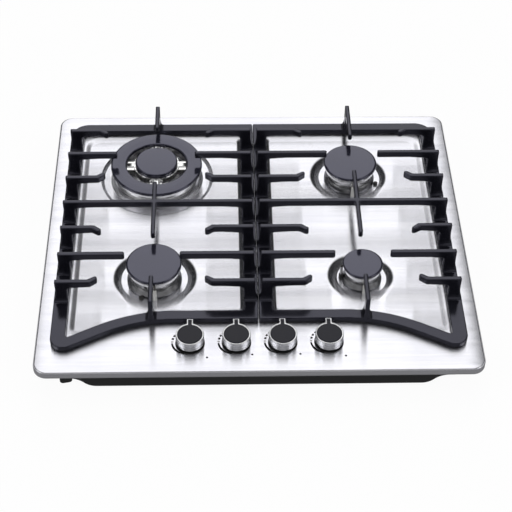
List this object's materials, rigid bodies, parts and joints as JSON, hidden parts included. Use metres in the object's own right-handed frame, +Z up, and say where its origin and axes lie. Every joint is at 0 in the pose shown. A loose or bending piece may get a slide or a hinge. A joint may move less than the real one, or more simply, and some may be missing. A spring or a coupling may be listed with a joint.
{
  "type": "gas cooktop",
  "caption": "Built-in gas cooktop: stainless plate with burners, cast iron pan grates, turning control knobs, and a base tray with worktop clamps.",
  "frame": {"origin": "middle of the plan, on the underside of the base tray, which is the surface the part stands on", "axes": "+X to the right, +Y to the back (knobs at -Y), +Z up towards the pans"},
  "size_m": [0.58, 0.506, 0.095],
  "materials": {
    "plate_steel": "satin stainless, fine grain across the plate",
    "gasket_foam": "closed cell foam",
    "tray_black": "black stove enamel, semi-gloss",
    "clamp_black": "black coated steel",
    "plated_steel": "zinc plated",
    "grate_enamel": "glossy black enamel over cast iron",
    "feet_rubber": "black rubber",
    "burner_alloy": "as cast, bright turned edges",
    "cup_alloy": "as cast, grey",
    "cap_enamel": "glossy dark enamel on steel",
    "brass": "turned",
    "inlet_brass": "turned",
    "tap_alloy": "die cast",
    "tube_alloy": "drawn tube",
    "spindle_steel": "turned",
    "collar_plastic": "moulded",
    "knob_metal": "satin metallised shell",
    "knob_black": "satin dark grey inlay",
    "bezel_black": "matt black",
    "ceramic_white": "glazed white ceramic",
    "pin_steel": "heat darkened",
    "module_plastic": "moulded",
    "gland_plastic": "moulded nylon",
    "lead_silicone": "silicone sleeved wire",
    "copper_lead": "bare copper tube"
  },
  "bodies": {
    "chassis": {"top_plate": "plate_steel", "worktop_gasket": "gasket_foam", "base_tray": "tray_black", "tray_nuts": "plated_steel", "clamp_screws": "plated_steel", "burner_rails": "plated_steel", "cup_screws": "plated_steel", "gas_manifold": "plated_steel", "manifold_brackets": "plated_steel", "burner_cup_fl": "cup_alloy", "burner_cup_br": "cup_alloy", "burner_cup_fr": "cup_alloy", "burner_cup_bl": "cup_alloy", "injectors": "brass", "gas_inlet": "inlet_brass", "gas_taps": "tap_alloy", "feed_tubes": "tube_alloy", "knob_bezels": "bezel_black", "electrode_ceramics": "ceramic_white", "electrode_pins": "pin_steel", "thermocouples": "pin_steel", "ignition_module": "module_plastic", "ignition_switches": "module_plastic", "cable_gland": "gland_plastic", "ignition_leads": "lead_silicone", "switch_harness": "lead_silicone", "thermocouple_leads": "copper_lead"},
    "grate_left": {"grate_left": "grate_enamel", "grate_feet_left": "feet_rubber"},
    "grate_right": {"grate_right": "grate_enamel", "grate_feet_right": "feet_rubber"},
    "head_fl": {"burner_head_fl": "burner_alloy"},
    "head_fr": {"burner_head_fr": "burner_alloy"},
    "head_bl": {"burner_head_bl": "burner_alloy"},
    "head_br": {"burner_head_br": "burner_alloy"},
    "cap_fl": {"burner_cap_fl": "cap_enamel"},
    "cap_fr": {"burner_cap_fr": "cap_enamel"},
    "cap_br": {"burner_cap_br": "cap_enamel"},
    "cap_bl_ring": {"burner_cap_bl_ring": "cap_enamel"},
    "cap_bl_centre": {"burner_cap_bl_centre": "cap_enamel"},
    "push_1": {"tap_collar_1": "collar_plastic"},
    "knob_1": {"tap_spindle_1": "spindle_steel", "knob_skirt_1": "knob_metal", "knob_inlay_1": "knob_black"},
    "push_2": {"tap_collar_2": "collar_plastic"},
    "knob_2": {"tap_spindle_2": "spindle_steel", "knob_skirt_2": "knob_metal", "knob_inlay_2": "knob_black"},
    "push_3": {"tap_collar_3": "collar_plastic"},
    "knob_3": {"tap_spindle_3": "spindle_steel", "knob_skirt_3": "knob_metal", "knob_inlay_3": "knob_black"},
    "push_4": {"tap_collar_4": "collar_plastic"},
    "knob_4": {"tap_spindle_4": "spindle_steel", "knob_skirt_4": "knob_metal", "knob_inlay_4": "knob_black"},
    "clamp_fl": {"clamp_fl": "clamp_black"},
    "clamp_fr": {"clamp_fr": "clamp_black"},
    "clamp_bl": {"clamp_bl": "clamp_black"},
    "clamp_br": {"clamp_br": "clamp_black"}
  },
  "joints": [
    {"name": "grate_left_lift", "type": "slide", "parent": "chassis", "child": "grate_left", "axis": [0, 0, 1], "range_m": [0, 0.12]},
    {"name": "grate_right_lift", "type": "slide", "parent": "chassis", "child": "grate_right", "axis": [0, 0, 1], "range_m": [0, 0.12]},
    {"name": "head_fl_lift", "type": "slide", "parent": "chassis", "child": "head_fl", "axis": [0, 0, 1], "range_m": [0, 0.004]},
    {"name": "head_fr_lift", "type": "slide", "parent": "chassis", "child": "head_fr", "axis": [0, 0, 1], "range_m": [0, 0.004]},
    {"name": "head_bl_lift", "type": "slide", "parent": "chassis", "child": "head_bl", "axis": [0, 0, 1], "range_m": [0, 0.004]},
    {"name": "head_br_lift", "type": "slide", "parent": "chassis", "child": "head_br", "axis": [0, 0, 1], "range_m": [0, 0.004]},
    {"name": "cap_fl_lift", "type": "slide", "parent": "head_fl", "child": "cap_fl", "axis": [0, 0, 1], "range_m": [0, 0.005]},
    {"name": "cap_fr_lift", "type": "slide", "parent": "head_fr", "child": "cap_fr", "axis": [0, 0, 1], "range_m": [0, 0.005]},
    {"name": "cap_br_lift", "type": "slide", "parent": "head_br", "child": "cap_br", "axis": [0, 0, 1], "range_m": [0, 0.005]},
    {"name": "cap_bl_ring_lift", "type": "slide", "parent": "head_bl", "child": "cap_bl_ring", "axis": [0, 0, 1], "range_m": [0, 0.005]},
    {"name": "cap_bl_centre_lift", "type": "slide", "parent": "head_bl", "child": "cap_bl_centre", "axis": [0, 0, 1], "range_m": [0, 0.005]},
    {"name": "knob_1_push", "type": "slide", "parent": "chassis", "child": "push_1", "axis": [0, 0, -1], "range_m": [0, 0.003], "stiffness_N_per_m": 900, "springref_m": -0.003},
    {"name": "knob_1_turn", "type": "hinge", "parent": "push_1", "child": "knob_1", "pos_m": [-0.09, -0.204, 0.058], "axis": [0, 0, 1], "range_deg": [0, 160]},
    {"name": "knob_2_push", "type": "slide", "parent": "chassis", "child": "push_2", "axis": [0, 0, -1], "range_m": [0, 0.003], "stiffness_N_per_m": 900, "springref_m": -0.003},
    {"name": "knob_2_turn", "type": "hinge", "parent": "push_2", "child": "knob_2", "pos_m": [-0.03, -0.204, 0.058], "axis": [0, 0, 1], "range_deg": [0, 160]},
    {"name": "knob_3_push", "type": "slide", "parent": "chassis", "child": "push_3", "axis": [0, 0, -1], "range_m": [0, 0.003], "stiffness_N_per_m": 900, "springref_m": -0.003},
    {"name": "knob_3_turn", "type": "hinge", "parent": "push_3", "child": "knob_3", "pos_m": [0.03, -0.204, 0.058], "axis": [0, 0, 1], "range_deg": [0, 160]},
    {"name": "knob_4_push", "type": "slide", "parent": "chassis", "child": "push_4", "axis": [0, 0, -1], "range_m": [0, 0.003], "stiffness_N_per_m": 900, "springref_m": -0.003},
    {"name": "knob_4_turn", "type": "hinge", "parent": "push_4", "child": "knob_4", "pos_m": [0.09, -0.204, 0.058], "axis": [0, 0, 1], "range_deg": [0, 160]},
    {"name": "clamp_fl_swivel", "type": "hinge", "parent": "chassis", "child": "clamp_fl", "pos_m": [-0.254, -0.215, 0.0136], "axis": [0, 0, 1], "range_deg": [-100, 0]},
    {"name": "clamp_fr_swivel", "type": "hinge", "parent": "chassis", "child": "clamp_fr", "pos_m": [0.254, -0.215, 0.0136], "axis": [0, 0, 1], "range_deg": [-90, 20]},
    {"name": "clamp_bl_swivel", "type": "hinge", "parent": "chassis", "child": "clamp_bl", "pos_m": [-0.254, 0.152, 0.0136], "axis": [0, 0, 1], "range_deg": [-20, 20]},
    {"name": "clamp_br_swivel", "type": "hinge", "parent": "chassis", "child": "clamp_br", "pos_m": [0.254, 0.152, 0.0136], "axis": [0, 0, 1], "range_deg": [-20, 20]}
  ]
}
